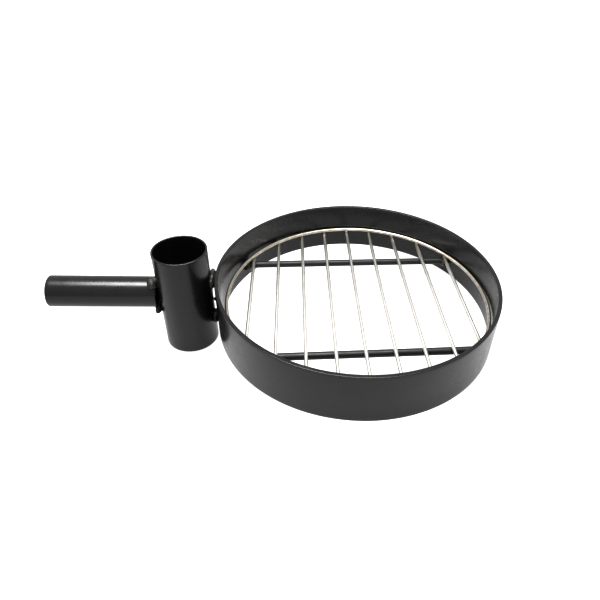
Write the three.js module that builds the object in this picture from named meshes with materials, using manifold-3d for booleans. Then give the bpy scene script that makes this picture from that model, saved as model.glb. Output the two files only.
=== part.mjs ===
// Swing-out round grill rack: a rolled steel band carries two support bars and a lift-out wire grate.
// An open sleeve beside the band slides over an upright post, and a tube handle on the sleeve turns it.
// Millimetres. +Z runs up the post, +X runs from the handle to the band.

import * as THREE from 'three';
import { mergeVertices } from 'three/addons/utils/BufferGeometryUtils.js';
import Module from 'manifold-3d';

const wasm = await Module();
wasm.setup();

// ---- driving dimensions -------------------------------------------------------------------------

const touchGap = 0.3; // left between pieces that rest on each other or are welded together

const bandOuterRadius = 152.5;
const bandThickness = 4;
const bandHeight = 57;

const sleeveOuterRadius = 28;
const sleeveWall = 2;
const sleeveBelowBand = 25;
const sleeveAboveBand = 34;
const sleeveToBandGap = 4; // bridged by the welds

const handleOuterRadius = 16.5;
const handleWall = 2.6;
const handleLength = 108.5;
const handleHeight = 38.5; // tube axis at the sleeve, above the band's lower edge
const handleRiseDeg = 2.3; // the free end stands a little higher than the welded end

const wireRadius = 2; // rim and rods of the grate
const rimCentreRadius = 144.3;
const rimHeight = 25.5; // rim wire's centre above the band's lower edge
const rodCount = 9;
const rodPitch = 29.8;
const rodPastRim = 0.5; // beyond the rim wire's centreline
const grateShift = new THREE.Vector2(1.6, 0.6); // the loose grate rests off centre in the band
const grateTurnDeg = -1.2;

const barRadius = 4;
const barOffset = 81; // from the band's centre line to each support bar

// Weld beads, as flattened balls with these half sizes before they are trimmed to their neighbours.
const sleeveWelds = {
  top: { y: 5.5, z: 50, halfSize: new THREE.Vector3(9, 14.5, 8) },
  middle: { y: 0, z: 26.5, halfSize: new THREE.Vector3(5, 2.8, 1.8) },
  bottom: { y: -4, z: 6.8, halfSize: new THREE.Vector3(8, 9.5, 6.5) },
};
const handleWelds = {
  top: { angleDeg: 20, halfSize: new THREE.Vector3(8, 8.5, 5) },
  bottom: { angleDeg: 170, halfSize: new THREE.Vector3(4.5, 13, 5) },
};
const barWeldDrop = 1.5; // below the bar's axis
const barWeldHalfSize = new THREE.Vector3(7, 7, 5.3);

const largeRoundSegments = 128;
const sleeveSegments = 64;
const tubeSegments = 48;
const rimSegments = 120;
const wireSegments = 12;
const beadSegments = 20;

// ---- sizes that follow from them ----------------------------------------------------------------

const bandInnerRadius = bandOuterRadius - bandThickness;
const sleeveInnerRadius = sleeveOuterRadius - sleeveWall;
const sleeveLength = sleeveBelowBand + bandHeight + sleeveAboveBand;
const sleeveX = -(bandOuterRadius + sleeveToBandGap + sleeveOuterRadius);
const weldX = -(bandOuterRadius + sleeveToBandGap / 2);
const rodHeight = rimHeight - 2 * wireRadius - touchGap;
const barHeight = rodHeight - wireRadius - touchGap - barRadius;
const handleRise = THREE.MathUtils.degToRad(handleRiseDeg);
const handleEndX = sleeveX - sleeveOuterRadius - touchGap - handleOuterRadius * Math.sin(handleRise);

// ---- materials ----------------------------------------------------------------------------------

const blackPaint = { color: 0x1c1d1e, roughness: 0.42, metalness: 0.0 };
const paintedWeld = { color: 0x23251f, roughness: 0.55, metalness: 0.0 };
const brightSteel = { color: 0xc9c4b8, roughness: 0.25, metalness: 1.0 };

// ---- geometry helpers ---------------------------------------------------------------------------

// A tube or, with no bore, a rod: turned about its own axis, which runs along +Z from z = 0.
function roundBar(outerRadius, innerRadius, length, segments) {
  const profile = [
    new THREE.Vector2(innerRadius, 0),
    new THREE.Vector2(outerRadius, 0),
    new THREE.Vector2(outerRadius, length),
    new THREE.Vector2(innerRadius, length),
  ];
  if (innerRadius > 0) {
    profile.push(profile[0].clone());
  }
  return new THREE.LatheGeometry(profile, segments).rotateX(Math.PI / 2);
}

// A straight wire with its middle at the origin, lying along +Y.
function straightWire(radius, length) {
  return new THREE.CylinderGeometry(radius, radius, length, wireSegments);
}

// A flattened ball of weld metal around a point.
function weldBall(centre, halfSize) {
  return new THREE.SphereGeometry(1, beadSegments, beadSegments)
    .scale(halfSize.x, halfSize.y, halfSize.z)
    .translate(centre.x, centre.y, centre.z);
}

// ---- joining and cutting ------------------------------------------------------------------------

function toSolid(geometry) {
  const bare = geometry.clone();
  bare.deleteAttribute('normal');
  bare.deleteAttribute('uv');
  const merged = mergeVertices(bare, 1e-4);
  return new wasm.Manifold(new wasm.Mesh({
    numProp: 3,
    vertProperties: new Float32Array(merged.attributes.position.array),
    triVerts: new Uint32Array(merged.index.array),
  }));
}

function toGeometry(solid) {
  const mesh = solid.getMesh();
  const geometry = new THREE.BufferGeometry();
  geometry.setAttribute('position', new THREE.BufferAttribute(mesh.vertProperties, 3));
  geometry.setIndex(new THREE.BufferAttribute(mesh.triVerts, 1));
  geometry.computeVertexNormals();
  return geometry;
}

// Solids that reach one touch gap past a neighbour, for trimming weld metal to fit beside it.
function sleeveRoom() {
  const geometry = roundBar(sleeveOuterRadius + touchGap, 0, sleeveLength, sleeveSegments);
  return toSolid(geometry.translate(sleeveX, 0, -sleeveBelowBand));
}

// Taller than the band, so that a bead beside its upper edge doesn't lap over it.
function insideBandOuterWall() {
  return toSolid(roundBar(bandOuterRadius + touchGap, 0, 2 * bandHeight, largeRoundSegments));
}

function insideBandInnerWall() {
  return toSolid(roundBar(bandInnerRadius - touchGap, 0, bandHeight, largeRoundSegments));
}

function handleRoom() {
  const geometry = roundBar(handleOuterRadius + touchGap, 0, handleLength + touchGap, tubeSegments);
  return toSolid(layAlongHandle(geometry.translate(0, 0, -touchGap)));
}

// Moves something made along +Z onto the handle's axis, starting at the welded end.
function layAlongHandle(geometry) {
  return geometry.rotateY(-Math.PI / 2 + handleRise).translate(handleEndX, 0, handleHeight);
}

// ---- the welded frame ---------------------------------------------------------------------------

function ringBand() {
  return roundBar(bandOuterRadius, bandInnerRadius, bandHeight, largeRoundSegments);
}

function postSleeve() {
  const geometry = roundBar(sleeveOuterRadius, sleeveInnerRadius, sleeveLength, sleeveSegments);
  return geometry.translate(sleeveX, 0, -sleeveBelowBand);
}

function handleTube() {
  const innerRadius = handleOuterRadius - handleWall;
  return layAlongHandle(roundBar(handleOuterRadius, innerRadius, handleLength, tubeSegments));
}

// Half the length of a bar across the band, square-cut so that its outer corners clear the wall.
function barHalfLength() {
  const outerCorner = barOffset + barRadius;
  return Math.sqrt(bandInnerRadius ** 2 - outerCorner ** 2) - touchGap;
}

// Growth thickens and lengthens the bar on every side, to leave room around it.
function supportBar(side, growth = 0) {
  return straightWire(barRadius + growth, 2 * (barHalfLength() + growth))
    .rotateZ(Math.PI / 2)
    .translate(0, side * barOffset, barHeight);
}

// A fillet around and under the end of a support bar, kept below the rods.
function barEndWeld(side, end) {
  const wallX = Math.sqrt(bandInnerRadius ** 2 - barOffset ** 2);
  const centre = new THREE.Vector3(end * wallX, side * barOffset, barHeight - barWeldDrop);
  const bead = toSolid(weldBall(centre, barWeldHalfSize))
    .intersect(insideBandInnerWall())
    .subtract(toSolid(supportBar(side, touchGap)));
  return toGeometry(bead);
}

// One stitch of weld in the narrow gap between the sleeve and the band.
function sleeveWeld({ y, z, halfSize }) {
  const bead = toSolid(weldBall(new THREE.Vector3(weldX, y, z), halfSize))
    .subtract(sleeveRoom())
    .subtract(insideBandOuterWall());
  return toGeometry(bead);
}

// A bead where the handle's end meets the sleeve. The angle runs round the tube from its top
// towards the front, and the bead's centre lies on the tube's outer edge.
function handleWeld({ angleDeg, halfSize }) {
  const angle = THREE.MathUtils.degToRad(angleDeg);
  const centre = new THREE.Vector3(
    handleEndX,
    -Math.sin(angle) * handleOuterRadius,
    handleHeight + Math.cos(angle) * handleOuterRadius,
  );
  const bead = toSolid(weldBall(centre, halfSize)).subtract(sleeveRoom()).subtract(handleRoom());
  return toGeometry(bead);
}

// ---- the lift-out grate -------------------------------------------------------------------------

// The rim is a round wire bent into a full hoop.
function grateRim() {
  return new THREE.TorusGeometry(rimCentreRadius, wireRadius, wireSegments, rimSegments)
    .translate(0, 0, rimHeight);
}

// A rod under the rim, as long as the hoop is wide where it crosses.
function grateRod(index) {
  const x = (index - (rodCount - 1) / 2) * rodPitch;
  const halfLength = Math.sqrt(rimCentreRadius ** 2 - x ** 2) + rodPastRim;
  return straightWire(wireRadius, 2 * halfLength).translate(x, 0, rodHeight);
}

// ---- assembly -----------------------------------------------------------------------------------

function addPiece(parent, name, geometry, finish) {
  const mesh = new THREE.Mesh(geometry, new THREE.MeshStandardMaterial(finish));
  mesh.name = name;
  parent.add(mesh);
}

function buildFrame() {
  const frame = new THREE.Group();
  addPiece(frame, 'ring_band', ringBand(), blackPaint);
  addPiece(frame, 'post_sleeve', postSleeve(), blackPaint);
  addPiece(frame, 'handle_tube', handleTube(), blackPaint);
  for (const [sideName, side] of [['front', -1], ['rear', 1]]) {
    addPiece(frame, `support_bar_${sideName}`, supportBar(side), blackPaint);
    for (const [endName, end] of [['left', -1], ['right', 1]]) {
      addPiece(frame, `bar_weld_${sideName}_${endName}`, barEndWeld(side, end), paintedWeld);
    }
  }
  for (const [place, weld] of Object.entries(sleeveWelds)) {
    addPiece(frame, `sleeve_weld_${place}`, sleeveWeld(weld), paintedWeld);
  }
  for (const [place, weld] of Object.entries(handleWelds)) {
    addPiece(frame, `handle_weld_${place}`, handleWeld(weld), paintedWeld);
  }
  return frame;
}

function buildGrate() {
  const grate = new THREE.Group();
  addPiece(grate, 'grate_rim', grateRim(), brightSteel);
  for (let index = 0; index < rodCount; index += 1) {
    addPiece(grate, `grate_rod_${index + 1}`, grateRod(index), brightSteel);
  }
  grate.rotation.z = THREE.MathUtils.degToRad(grateTurnDeg);
  grate.position.set(grateShift.x, grateShift.y, 0);
  return grate;
}

// Puts the origin under the middle of the object's bounding box, level with its lowest face.
function originAtBase(group) {
  const box = new THREE.Box3().setFromObject(group, true);
  const middle = box.getCenter(new THREE.Vector3());
  group.position.set(-middle.x, -middle.y, -box.min.z);
}

const rack = new THREE.Group();
rack.add(buildFrame(), buildGrate());
originAtBase(rack);

export default rack;
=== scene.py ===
"""Looks of the swing-out round grill rack: fine meshes and procedural finishes around its CAD frame."""

import math

import bmesh
import bpy
from mathutils import Matrix, Vector, noise


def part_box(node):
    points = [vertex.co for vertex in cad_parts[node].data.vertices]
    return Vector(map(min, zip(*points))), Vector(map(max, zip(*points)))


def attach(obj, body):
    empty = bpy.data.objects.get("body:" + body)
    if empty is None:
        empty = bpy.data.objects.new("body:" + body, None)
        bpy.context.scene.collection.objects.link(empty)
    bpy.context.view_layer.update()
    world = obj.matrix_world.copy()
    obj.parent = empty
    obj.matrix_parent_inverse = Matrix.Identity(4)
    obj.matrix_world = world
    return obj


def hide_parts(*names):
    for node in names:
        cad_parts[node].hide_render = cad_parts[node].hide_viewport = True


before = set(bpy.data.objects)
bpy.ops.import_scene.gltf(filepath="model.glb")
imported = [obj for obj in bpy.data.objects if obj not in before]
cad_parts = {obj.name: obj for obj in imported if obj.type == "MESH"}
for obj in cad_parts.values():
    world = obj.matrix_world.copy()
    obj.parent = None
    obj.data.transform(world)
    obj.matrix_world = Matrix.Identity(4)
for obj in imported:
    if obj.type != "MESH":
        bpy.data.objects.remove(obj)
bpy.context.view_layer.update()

# ---- sizes that the frame's boxes don't give, in metres and radians --------------------------------

MM = 0.001
BAND_THICKNESS = 4 * MM
SLEEVE_WALL = 2 * MM
HANDLE_WALL = 2.6 * MM
HANDLE_RISE = math.radians(2.3)
GRATE_TURN = math.radians(-1.2)
ROD_COUNT = 9
WELD_BITE = 0.15 * MM   # how far a bead sinks into the pieces that it joins
RIPPLE_PITCH = 1.9 * MM
RIPPLE_HEIGHT = 0.28 * MM
LUMP_HEIGHT = 0.7 * MM
BAND_OUT_OF_ROUND = 0.12 * MM
BAND_NICK = 0.1 * MM
RIM_OUT_OF_ROUND = 0.3 * MM
RIM_OUT_OF_FLAT = 0.15 * MM
ROD_BOW = 0.25 * MM
NUGGET_HALF_SIZE = Vector((1.5, 2.3, 0.75)) * MM   # a spot weld: across the rod, along it and up
BAND_EDGE = 0.5 * MM   # this and the other edges are radii of rounding
SLEEVE_EDGE = 0.8 * MM
HANDLE_EDGE = 0.6 * MM
BAR_EDGE = 0.5 * MM
ROD_EDGE = 0.45 * MM
UP = Vector((0, 0, 1))

# How finely each piece is divided, round it and along it.
BAND_SEGMENTS = 540
SLEEVE_SEGMENTS = 180
HANDLE_SEGMENTS = 128
WALL_STEP = 4 * MM
BAR_SIDES = 28
BAR_STEPS = 60
WIRE_SIDES = 24
ROD_STEPS = 90
RIM_STEPS = 480
BEAD_FINENESS = 6
NUGGET_FINENESS = 4

# Each bead's lumps are drawn from noise at its own seed.
BAR_WELD_SEEDS = {
    ("front", "left"): 39,
    ("front", "right"): 40,
    ("rear", "left"): 32,
    ("rear", "right"): 33,
}
SLEEVE_WELD_SEEDS = {"top": 20, "middle": 21, "bottom": 22}
HANDLE_WELD_SEEDS = {"top": 30, "bottom": 31}


# ---- places in the frame ---------------------------------------------------------------------------

def middle(node):
    low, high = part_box(node)
    return (low + high) / 2


def extent(node):
    low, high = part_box(node)
    return high - low


BAND_CENTRE = middle("ring_band")
BAND_RADIUS = extent("ring_band").x / 2
BAND_HEIGHT = extent("ring_band").z
SLEEVE_CENTRE = middle("post_sleeve")
SLEEVE_RADIUS = extent("post_sleeve").x / 2
SLEEVE_LENGTH = extent("post_sleeve").z
HANDLE_CENTRE = middle("handle_tube")
HANDLE_RADIUS = extent("handle_tube").y / 2
HANDLE_AXIS = Vector((-math.cos(HANDLE_RISE), 0, math.sin(HANDLE_RISE)))
HANDLE_LENGTH = (
    extent("handle_tube").x - 2 * HANDLE_RADIUS * math.sin(HANDLE_RISE)
) / math.cos(HANDLE_RISE)
RIM_CENTRE = middle("grate_rim")
WIRE_RADIUS = extent("grate_rim").z / 2
RIM_RADIUS = extent("grate_rim").x / 2 - WIRE_RADIUS


# ---- camera ----------------------------------------------------------------------------------------

VIEW_PITCH = math.radians(37.0)
VIEW_TURN = math.radians(6.3)
VIEW_ROLL = math.radians(2.4)
VIEW_DISTANCE = 0.559
VIEW_AIM = Vector((-0.028, 0, 0.0114))   # from the middle of the band
SENSOR_WIDTH = 36.0
LENS = 30.58
VIEW_SHIFT = (-0.0526, -0.0230)


def make_camera():
    """In front of the rack and above it, a little towards the handle."""
    data = bpy.data.cameras.new("camera")
    data.sensor_width = SENSOR_WIDTH
    data.lens = LENS
    data.shift_x, data.shift_y = VIEW_SHIFT
    data.clip_start = 0.01
    data.clip_end = 100.0
    camera = bpy.data.objects.new("camera", data)
    turn = (
        Matrix.Rotation(-VIEW_TURN, 4, "Z")
        @ Matrix.Rotation(math.pi / 2 - VIEW_PITCH, 4, "X")
        @ Matrix.Rotation(VIEW_ROLL, 4, "Z")
    )
    backward = turn @ Vector((0, 0, 1))
    place = BAND_CENTRE + VIEW_AIM + backward * VIEW_DISTANCE
    camera.matrix_world = Matrix.Translation(place) @ turn
    bpy.context.collection.objects.link(camera)
    bpy.context.scene.camera = camera


# ---- floor, light and picture settings -------------------------------------------------------------

FLOOR_SIZE = 40.0
FLOOR_CLEARANCE = 0.1 * MM
SOFTBOX_PLACE = Vector((-0.08, 0.06, 1.2))
SOFTBOX_SIZE = (0.9, 0.5)
SOFTBOX_POWER = 22.0
SKY_LOW = 0.6
SKY_HIGH = 0.7
SKY_LOW_AT = 0.1    # both heights are of a direction, from 0 at the horizon to 1 overhead
SKY_HIGH_AT = 0.9
FLOOR_GREY = (0.3, 0.3, 0.3, 1)
FLOOR_GLOW = 0.5
WHITE = (1.0, 1.0, 1.0, 1.0)
EXPOSURE = 0.75
CONTRAST_GAMMA = 0.7


def make_floor():
    """The rack leans on the sleeve's lower edge and the band's far edge, so the floor slopes under it."""
    sleeve_edge = Vector((SLEEVE_CENTRE.x + SLEEVE_RADIUS, 0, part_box("post_sleeve")[0].z))
    band_edge = Vector((BAND_CENTRE.x + BAND_RADIUS, 0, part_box("ring_band")[0].z))
    along = (band_edge - sleeve_edge).normalized()
    slope = math.atan2(along.z, along.x)
    bm = bmesh.new()
    bmesh.ops.create_grid(bm, x_segments=2, y_segments=2, size=FLOOR_SIZE / 2)
    mesh = bpy.data.meshes.new("floor")
    bm.to_mesh(mesh)
    bm.free()
    mesh.materials.append(floor_material())
    floor = bpy.data.objects.new("floor", mesh)
    normal = Vector((-math.sin(slope), 0, math.cos(slope)))
    floor.location = sleeve_edge - normal * FLOOR_CLEARANCE
    floor.rotation_euler = (0, -slope, 0)
    bpy.context.collection.objects.link(floor)


def make_softbox():
    """A long light overhead, which draws the highlight along the handle."""
    data = bpy.data.lights.new("softbox", "AREA")
    data.shape = "RECTANGLE"
    data.size, data.size_y = SOFTBOX_SIZE
    data.energy = SOFTBOX_POWER
    light = bpy.data.objects.new("softbox", data)
    light.location = SOFTBOX_PLACE
    bpy.context.collection.objects.link(light)


def make_room():
    """A white room, a little brighter overhead than at the horizon."""
    world = bpy.data.worlds.new("room")
    world.use_nodes = True
    tree = world.node_tree
    direction = tree.nodes.new("ShaderNodeTexCoord").outputs["Generated"]
    split = tree.nodes.new("ShaderNodeSeparateXYZ")
    tree.links.new(direction, split.inputs["Vector"])
    strength = ramp(tree, split.outputs["Z"], SKY_LOW_AT, SKY_HIGH_AT, SKY_LOW, SKY_HIGH)
    tree.links.new(strength, tree.nodes["Background"].inputs["Strength"])
    tree.nodes["Background"].inputs["Color"].default_value = WHITE
    bpy.context.scene.world = world


def set_picture():
    """A bright, contrasty product picture: white falls off the top of the scale."""
    settings = bpy.context.scene.view_settings
    settings.view_transform = "Standard"
    settings.look = "None"
    settings.exposure = EXPOSURE
    settings.gamma = CONTRAST_GAMMA


# ---- shader helpers --------------------------------------------------------------------------------

def new_material(name):
    material = bpy.data.materials.new(name)
    material.use_nodes = True
    tree = material.node_tree
    return material, tree, tree.nodes["Principled BSDF"]


def ramp(tree, value, low, high, low_value, high_value):
    """Maps low..high of a value to low_value..high_value, held at both ends."""
    node = tree.nodes.new("ShaderNodeMapRange")
    node.inputs["From Min"].default_value = low
    node.inputs["From Max"].default_value = high
    node.inputs["To Min"].default_value = low_value
    node.inputs["To Max"].default_value = high_value
    tree.links.new(value, node.inputs["Value"])
    return node.outputs["Result"]


def noise_at(tree, place, scale, detail=2.0, stretch=(1, 1, 1)):
    """Noise over a place, with features about 1 / scale metres across before it is stretched."""
    mapping = tree.nodes.new("ShaderNodeMapping")
    mapping.inputs["Scale"].default_value = stretch
    node = tree.nodes.new("ShaderNodeTexNoise")
    node.inputs["Scale"].default_value = scale
    node.inputs["Detail"].default_value = detail
    tree.links.new(place, mapping.inputs["Vector"])
    tree.links.new(mapping.outputs["Vector"], node.inputs["Vector"])
    return node.outputs["Fac"]


def arithmetic(tree, operation, first, second):
    node = tree.nodes.new("ShaderNodeMath")
    node.operation = operation
    for socket, value in zip(node.inputs, (first, second)):
        if isinstance(value, (int, float)):
            socket.default_value = value
        else:
            tree.links.new(value, socket)
    return node.outputs["Value"]


def blend_colours(tree, factor, first, second):
    """Mixes two colours, either of which may be a socket that carries one."""
    node = tree.nodes.new("ShaderNodeMix")
    node.data_type = "RGBA"
    tree.links.new(factor, node.inputs["Factor"])
    for name, value in (("A", first), ("B", second)):
        socket = next(s for s in node.inputs if s.name == name and s.type == "RGBA")
        if isinstance(value, tuple):
            socket.default_value = (*value, 1)
        else:
            tree.links.new(value, socket)
    return next(s for s in node.outputs if s.type == "RGBA")


def add_bump(tree, shader, height, strength, distance):
    node = tree.nodes.new("ShaderNodeBump")
    node.inputs["Strength"].default_value = strength
    node.inputs["Distance"].default_value = distance
    tree.links.new(height, node.inputs["Height"])
    tree.links.new(node.outputs["Normal"], shader.inputs["Normal"])


# ---- materials -------------------------------------------------------------------------------------

ENAMEL_IOR = 1.52


def floor_material():
    """A smooth white table top that also glows, so that shadows on it stay light."""
    material, tree, shader = new_material("white_table")
    place = tree.nodes.new("ShaderNodeTexCoord").outputs["Object"]
    shader.inputs["Base Color"].default_value = FLOOR_GREY
    shader.inputs["Emission Color"].default_value = WHITE
    shader.inputs["Emission Strength"].default_value = FLOOR_GLOW
    rough = ramp(tree, noise_at(tree, place, 6.0), 0.3, 0.7, 0.07, 0.1)
    tree.links.new(rough, shader.inputs["Roughness"])
    return material


def enamel_material(name, smoothest, roughest):
    """Black enamel: cloudy, with orange peel, fine dust in it and dull rubbed patches."""
    material, tree, shader = new_material(name)
    place = tree.nodes.new("ShaderNodeTexCoord").outputs["Object"]
    cloud = noise_at(tree, place, 35.0, 4.0)
    dust = ramp(tree, noise_at(tree, place, 2600.0, 1.0), 0.72, 0.78, 0.0, 1.0)
    patches = ramp(tree, cloud, 0.35, 0.65, 0.0, 1.0)
    colour = blend_colours(tree, patches, (0.0062, 0.0063, 0.0067), (0.0092, 0.0092, 0.0095))
    colour = blend_colours(tree, dust, colour, (0.055, 0.052, 0.047))
    tree.links.new(colour, shader.inputs["Base Color"])
    rub = noise_at(tree, place, 120.0, 5.0)
    rough = ramp(tree, arithmetic(tree, "ADD", cloud, rub), 0.8, 1.25, smoothest, roughest)
    tree.links.new(rough, shader.inputs["Roughness"])
    shader.inputs["IOR"].default_value = ENAMEL_IOR
    peel = noise_at(tree, place, 520.0, 2.0)
    waves = noise_at(tree, place, 60.0, 1.0)
    height = arithmetic(tree, "ADD", arithmetic(tree, "MULTIPLY", peel, 0.16), waves)
    add_bump(tree, shader, height, 0.3, 0.06 * MM)
    return material


def weld_material():
    """Weld metal under a thin coat of the same enamel: olive where it is thin, rough with spatter."""
    material, tree, shader = new_material("painted_weld")
    place = tree.nodes.new("ShaderNodeTexCoord").outputs["Object"]
    cloud = noise_at(tree, place, 260.0, 3.0)
    patches = ramp(tree, cloud, 0.38, 0.62, 0.0, 1.0)
    colour = blend_colours(tree, patches, (0.010, 0.0105, 0.0085), (0.032, 0.034, 0.025))
    tree.links.new(colour, shader.inputs["Base Color"])
    tree.links.new(ramp(tree, cloud, 0.3, 0.7, 0.28, 0.5), shader.inputs["Roughness"])
    shader.inputs["IOR"].default_value = ENAMEL_IOR
    add_bump(tree, shader, noise_at(tree, place, 900.0, 3.0), 0.6, 0.12 * MM)
    return material


def wire_material():
    """Satin drawn stainless wire: die lines along it, and a dull straw colour on the rim and on the rod
    ends near it: painted shade where the rods run under the rim, with heat tint by the rim's welds.
    """
    material, tree, shader = new_material("bright_wire")
    shader.inputs["Metallic"].default_value = 1.0
    coordinates = tree.nodes.new("ShaderNodeTexCoord")
    place, along = coordinates.outputs["Object"], coordinates.outputs["UV"]
    cloud = ramp(tree, noise_at(tree, place, 70.0, 3.0), 0.3, 0.7, 0.0, 1.0)
    colour = blend_colours(tree, cloud, (0.63, 0.615, 0.58), (0.73, 0.715, 0.685))
    # Painted shade: the rim and the rod ends within a few millimetres of it are darkened to a dull straw
    # colour, partly as heat tint by the welds.
    offset = tree.nodes.new("ShaderNodeVectorMath")
    offset.operation = "DISTANCE"
    offset.inputs[1].default_value = RIM_CENTRE
    tree.links.new(place, offset.inputs[0])
    wander = ramp(tree, noise_at(tree, place, 160.0, 2.0), 0.3, 0.7, -4 * MM, 4 * MM)
    reach = arithmetic(tree, "ADD", offset.outputs["Value"], wander)
    painted_shade_tint = ramp(tree, reach, RIM_RADIUS - 9 * MM, RIM_RADIUS - 1 * MM, 0.0, 1.0)
    colour = blend_colours(tree, painted_shade_tint, colour, (0.42, 0.39, 0.33))
    tree.links.new(colour, shader.inputs["Base Color"])
    lines = noise_at(tree, along, 1.0, 3.0, stretch=(9, 60, 1))
    tree.links.new(ramp(tree, lines, 0.3, 0.7, 0.3, 0.42), shader.inputs["Roughness"])
    add_bump(tree, shader, lines, 0.25, 0.05 * MM)
    return material


ENAMEL = enamel_material("black_enamel", 0.22, 0.29)
BAR_ENAMEL = enamel_material("dull_bar_enamel", 0.46, 0.58)
PAINTED_WELD = weld_material()
BRIGHT_WIRE = wire_material()


# ---- mesh helpers ----------------------------------------------------------------------------------

def mesh_from(bm, name):
    bmesh.ops.recalc_face_normals(bm, faces=bm.faces)
    mesh = bpy.data.meshes.new(name)
    bm.to_mesh(mesh)
    bm.free()
    return mesh


def add_piece(name, mesh, material, body, slot, *nodes):
    """Puts a finished mesh, in the row frame, on a body, in place of any CAD nodes named."""
    for polygon in mesh.polygons:
        polygon.use_smooth = True
    mesh.materials.append(material)
    piece = bpy.data.objects.new(name, mesh)
    bpy.context.collection.objects.link(piece)
    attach(piece, body)
    if nodes:
        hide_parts(*nodes)


def rounded_wall(inner, outer, length, edge, longest, steps=4):
    """A tube wall's section as (radius, height) points: rounded edges, and long sides cut up finely."""
    low, high = -length / 2, length / 2
    corners = [
        (outer - edge, high - edge, 0.0),
        (inner + edge, high - edge, 0.5 * math.pi),
        (inner + edge, low + edge, math.pi),
        (outer - edge, low + edge, 1.5 * math.pi),
    ]
    outline = []
    for radius, height, start in corners:
        for step in range(steps + 1):
            angle = start + 0.5 * math.pi * step / steps
            outline.append((radius + edge * math.cos(angle), height + edge * math.sin(angle)))
    section = []
    for point, following in zip(outline, outline[1:] + outline[:1]):
        parts = max(1, math.ceil(math.dist(point, following) / longest))
        for part in range(parts):
            share = part / parts
            section.append(tuple(a + (b - a) * share for a, b in zip(point, following)))
    return section


def turned(name, section, segments, shape=None):
    """A closed section turned about +Z. shape(radius, angle, height) may move each point."""
    bm = bmesh.new()
    rings = []
    for segment in range(segments):
        angle = 2 * math.pi * segment / segments
        ring = []
        for radius, height in section:
            if shape:
                radius, height = shape(radius, angle, height)
            ring.append(bm.verts.new((radius * math.cos(angle), radius * math.sin(angle), height)))
        rings.append(ring)
    for here, there in zip(rings, rings[1:] + rings[:1]):
        for index in range(len(section)):
            before = index - 1
            bm.faces.new((here[before], there[before], there[index], here[index]))
    return mesh_from(bm, name)


def wire_ring(bm, point, forward, radius, sides):
    """One ring of a wire's vertices around a point, square to the way forward."""
    across = forward.cross(UP).normalized()
    upward = across.cross(forward)
    ring = []
    for side in range(sides):
        angle = 2 * math.pi * side / sides
        offset = across * math.cos(angle) + upward * math.sin(angle)
        ring.append(bm.verts.new(point + offset * radius))
    return ring


def skin_between(bm, uv, here, there, start, finish):
    """Joins two rings. The UVs are the distance along the wire and the share of a turn around it."""
    sides = len(here)
    for side in range(sides):
        following = (side + 1) % sides
        face = bm.faces.new((here[side], here[following], there[following], there[side]))
        places = ((start, side), (start, side + 1), (finish, side + 1), (finish, side))
        for loop, (distance, turn) in zip(face.loops, places):
            loop[uv].uv = (distance, turn / sides)


def swept(name, route, radii, sides, closed=False):
    """A round wire along a route, with one radius a point. Its UVs run along and around it."""
    bm = bmesh.new()
    uv = bm.loops.layers.uv.new("along")
    count = len(route)
    rings = []
    travelled = [0.0]
    for index, point in enumerate(route):
        before = route[index - 1] if closed or index > 0 else point
        after = route[(index + 1) % count] if closed or index < count - 1 else point
        rings.append(wire_ring(bm, point, (after - before).normalized(), radii[index], sides))
        travelled.append(travelled[-1] + (route[(index + 1) % count] - point).length)
    for index in range(count if closed else count - 1):
        there = rings[(index + 1) % count]
        skin_between(bm, uv, rings[index], there, travelled[index], travelled[index + 1])
    if not closed:
        bm.faces.new(reversed(rings[0]))
        bm.faces.new(rings[-1])
    return mesh_from(bm, name)


def bar_stations(length, radius, edge, steps):
    """Places along a bar from its middle, each with the bar's radius there; both ends are rounded."""
    tip = []
    for step in range(5):
        angle = 0.5 * math.pi * step / 4
        tip.append((length / 2 - edge * (1 - math.sin(angle)), radius - edge * (1 - math.cos(angle))))
    tail = [(-place, size) for place, size in reversed(tip)]
    straight = [((step / steps - 0.5) * (length - 2 * edge), radius) for step in range(1, steps)]
    return tail + straight + tip


# ---- the welded frame ------------------------------------------------------------------------------

def build_band():
    """Rolled strip: a little out of round, with sheared edges that waver."""
    def roll(radius, angle, height):
        around = Vector((math.cos(angle), math.sin(angle), 0))
        drift = noise.noise(around * 2.2 + Vector((7, 0, 0)))
        nick = noise.noise(around * 60 + Vector((0, 3, 9 if height > 0 else 2)))
        closeness = max(0.0, 1 - (BAND_HEIGHT / 2 - abs(height)) / (2 * BAND_EDGE))
        radius += BAND_OUT_OF_ROUND * (drift - 0.4) - BAND_NICK * closeness * abs(nick)
        return radius, height

    inner = BAND_RADIUS - BAND_THICKNESS
    section = rounded_wall(inner, BAND_RADIUS, BAND_HEIGHT, BAND_EDGE, WALL_STEP)
    mesh = turned("band", section, BAND_SEGMENTS, roll)
    mesh.transform(Matrix.Translation(BAND_CENTRE))
    add_piece("band", mesh, ENAMEL, "frame", "black_paint", "ring_band")


def build_sleeve():
    """A straight open tube with rounded edges."""
    inner = SLEEVE_RADIUS - SLEEVE_WALL
    section = rounded_wall(inner, SLEEVE_RADIUS, SLEEVE_LENGTH, SLEEVE_EDGE, WALL_STEP)
    mesh = turned("sleeve", section, SLEEVE_SEGMENTS)
    mesh.transform(Matrix.Translation(SLEEVE_CENTRE))
    add_piece("sleeve", mesh, ENAMEL, "frame", "black_paint", "post_sleeve")


def build_handle():
    """A straight tube that rises a little towards its free end."""
    inner = HANDLE_RADIUS - HANDLE_WALL
    section = rounded_wall(inner, HANDLE_RADIUS, HANDLE_LENGTH, HANDLE_EDGE, WALL_STEP)
    mesh = turned("handle", section, HANDLE_SEGMENTS)
    lay_down = UP.rotation_difference(HANDLE_AXIS).to_matrix().to_4x4()
    mesh.transform(Matrix.Translation(HANDLE_CENTRE) @ lay_down)
    add_piece("handle", mesh, ENAMEL, "frame", "black_paint", "handle_tube")


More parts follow.
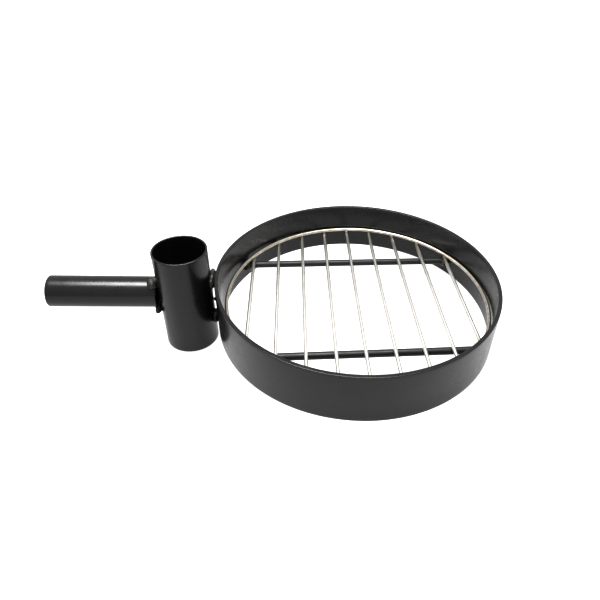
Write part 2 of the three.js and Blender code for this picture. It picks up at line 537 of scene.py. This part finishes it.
def build_support_bar(side):
    """A plain round bar across the band."""
    node = f"support_bar_{side}"
    centre, size = middle(node), extent(node)
    stations = bar_stations(size.x, size.z / 2, BAR_EDGE, BAR_STEPS)
    route = [centre + Vector((place, 0, 0)) for place, _ in stations]
    mesh = swept(node, route, [radius for _, radius in stations], BAR_SIDES)
    add_piece(f"bar_{side}", mesh, BAR_ENAMEL, "frame", "black_paint", node)


# ---- weld beads ------------------------------------------------------------------------------------

def keep_outside(point, centre, axis, radius):
    """Moves a point out to the surface of a round bar, less the weld's bite, if it is inside it."""
    along = (point - centre).dot(axis) * axis
    outward = point - centre - along
    least = radius - WELD_BITE
    if outward.length >= least:
        return point
    return centre + along + outward.normalized() * least


def keep_inside(point, centre, radius):
    """Moves a point back within the band's inner wall, plus the weld's bite."""
    outward = Vector((point.x - centre.x, point.y - centre.y, 0))
    most = radius + WELD_BITE
    if outward.length <= most:
        return point
    inward = outward.normalized() * most
    return Vector((centre.x + inward.x, centre.y + inward.y, point.z))


def bead(node, run, seed, fit):
    """A lump of weld in a CAD bead's box: rippled along its run, uneven, and fitted to its neighbours."""
    centre, half = middle(node), extent(node) / 2
    bm = bmesh.new()
    bmesh.ops.create_icosphere(bm, subdivisions=BEAD_FINENESS, radius=1.0)
    for vert in bm.verts:
        direction = vert.co.copy()
        point = Vector((direction.x * half.x, direction.y * half.y, direction.z * half.z))
        distance = point.dot(run)
        sideways = (point - distance * run).length
        phase = (distance + 0.35 * sideways) / RIPPLE_PITCH
        ripple = RIPPLE_HEIGHT * (abs(math.sin(math.pi * phase)) - 0.6)
        lump = LUMP_HEIGHT * noise.noise(point * 330 + Vector((seed, 0, 0)))
        vert.co = fit(centre + point + direction * (ripple + lump))
    return mesh_from(bm, node)


def build_sleeve_weld(place):
    """A stitch in the gap between the sleeve and the band."""
    def fit(point):
        point = keep_outside(point, SLEEVE_CENTRE, UP, SLEEVE_RADIUS)
        return keep_outside(point, BAND_CENTRE, UP, BAND_RADIUS)

    node = f"sleeve_weld_{place}"
    mesh = bead(node, UP, SLEEVE_WELD_SEEDS[place], fit)
    add_piece(f"stitch_{place}", mesh, PAINTED_WELD, "frame", "painted_weld", node)


def build_handle_weld(place):
    """A fillet where the handle's square end meets the round sleeve."""
    def fit(point):
        point = keep_outside(point, SLEEVE_CENTRE, UP, SLEEVE_RADIUS)
        reach = (point - HANDLE_CENTRE).dot(HANDLE_AXIS)
        if reach > -HANDLE_LENGTH / 2:
            point = keep_outside(point, HANDLE_CENTRE, HANDLE_AXIS, HANDLE_RADIUS)
        return point

    node = f"handle_weld_{place}"
    mesh = bead(node, Vector((0, 1, 0)), HANDLE_WELD_SEEDS[place], fit)
    add_piece(f"handle_fillet_{place}", mesh, PAINTED_WELD, "frame", "painted_weld", node)


def build_bar_weld(side, end):
    """A fillet round the end of a support bar, on the band's inner wall."""
    bar = middle(f"support_bar_{side}")
    radius = extent(f"support_bar_{side}").z / 2

    def fit(point):
        point = keep_outside(point, bar, Vector((1, 0, 0)), radius)
        return keep_inside(point, BAND_CENTRE, BAND_RADIUS - BAND_THICKNESS)

    node = f"bar_weld_{side}_{end}"
    mesh = bead(node, Vector((0, 1, 0)), BAR_WELD_SEEDS[side, end], fit)
    add_piece(f"bar_fillet_{side}_{end}", mesh, PAINTED_WELD, "frame", "painted_weld", node)


# ---- the lift-out grate ----------------------------------------------------------------------------

def grate_point(across, along, height):
    """A place on the grate, across and along its rods from its middle, turned as the grate lies."""
    flat = Matrix.Rotation(GRATE_TURN, 3, "Z") @ Vector((across, along, 0))
    return Vector((RIM_CENTRE.x + flat.x, RIM_CENTRE.y + flat.y, height))


def build_rim():
    """One wire bent into a hoop, not quite round or flat."""
    route = []
    for step in range(RIM_STEPS):
        angle = 2 * math.pi * step / RIM_STEPS
        around = Vector((math.cos(angle), math.sin(angle), 0))
        drift = noise.noise(around * 2.5)
        lift = noise.noise(around * 3.1 + Vector((4, 4, 4)))
        bent = RIM_RADIUS + RIM_OUT_OF_ROUND * (drift - 0.5)
        route.append(RIM_CENTRE + around * bent + UP * RIM_OUT_OF_FLAT * lift)
    mesh = swept("grate_rim", route, [WIRE_RADIUS] * RIM_STEPS, WIRE_SIDES, closed=True)
    add_piece("rim", mesh, BRIGHT_WIRE, "grate", "bright_wire", "grate_rim")


def rod_across(number):
    """How far a rod lies from the grate's middle, across the rods."""
    offset = middle(f"grate_rod_{number}") - RIM_CENTRE
    return offset.x * math.cos(GRATE_TURN) + offset.y * math.sin(GRATE_TURN)


def rod_half_length(number):
    """Half a rod's length, worked back from its box, since the grate lies turned."""
    size = extent(f"grate_rod_{number}").y / 2
    return (size - WIRE_RADIUS * math.sin(abs(GRATE_TURN))) / math.cos(GRATE_TURN)


def build_rod(number):
    """A straight rod, cropped at both ends, with a trace of bow."""
    node = f"grate_rod_{number}"
    across, height = rod_across(number), middle(node).z
    route, radii = [], []
    for place, radius in bar_stations(2 * rod_half_length(number), WIRE_RADIUS, ROD_EDGE, ROD_STEPS):
        bow = ROD_BOW * noise.noise(Vector((number * 3.7, place * 9, 0)))
        route.append(grate_point(across + bow, place, height))
        radii.append(radius)
    mesh = swept(node, route, radii, WIRE_SIDES)
    add_piece(f"rod_{number}", mesh, BRIGHT_WIRE, "grate", "bright_wire", node)


def build_spot_welds():
    """The nuggets where the rods meet the rim, two for each rod, in one mesh."""
    bm = bmesh.new()
    for number in range(1, ROD_COUNT + 1):
        across = rod_across(number)
        height = (middle(f"grate_rod_{number}").z + RIM_CENTRE.z) / 2
        reach = math.sqrt(RIM_RADIUS ** 2 - across ** 2)
        for end in (-1, 1):
            centre = grate_point(across, end * reach, height)
            ball = bmesh.ops.create_icosphere(bm, subdivisions=NUGGET_FINENESS, radius=1.0)
            for vert in ball["verts"]:
                swell = 1 + 0.25 * noise.noise(vert.co * 1.7 + Vector((number * 5, end * 3, 0)))
                vert.co = centre + Vector(a * b for a, b in zip(vert.co, NUGGET_HALF_SIZE)) * swell
    mesh = mesh_from(bm, "spot_welds")
    add_piece("spot_welds", mesh, BRIGHT_WIRE, "grate", "bright_wire")


# ---- assembly --------------------------------------------------------------------------------------

make_camera()
make_floor()
make_softbox()
make_room()
set_picture()

build_band()
build_sleeve()
build_handle()
for side in ("front", "rear"):
    build_support_bar(side)
    for end in ("left", "right"):
        build_bar_weld(side, end)
for place in ("top", "middle", "bottom"):
    build_sleeve_weld(place)
for place in ("top", "bottom"):
    build_handle_weld(place)
build_rim()
for number in range(1, ROD_COUNT + 1):
    build_rod(number)
build_spot_welds()
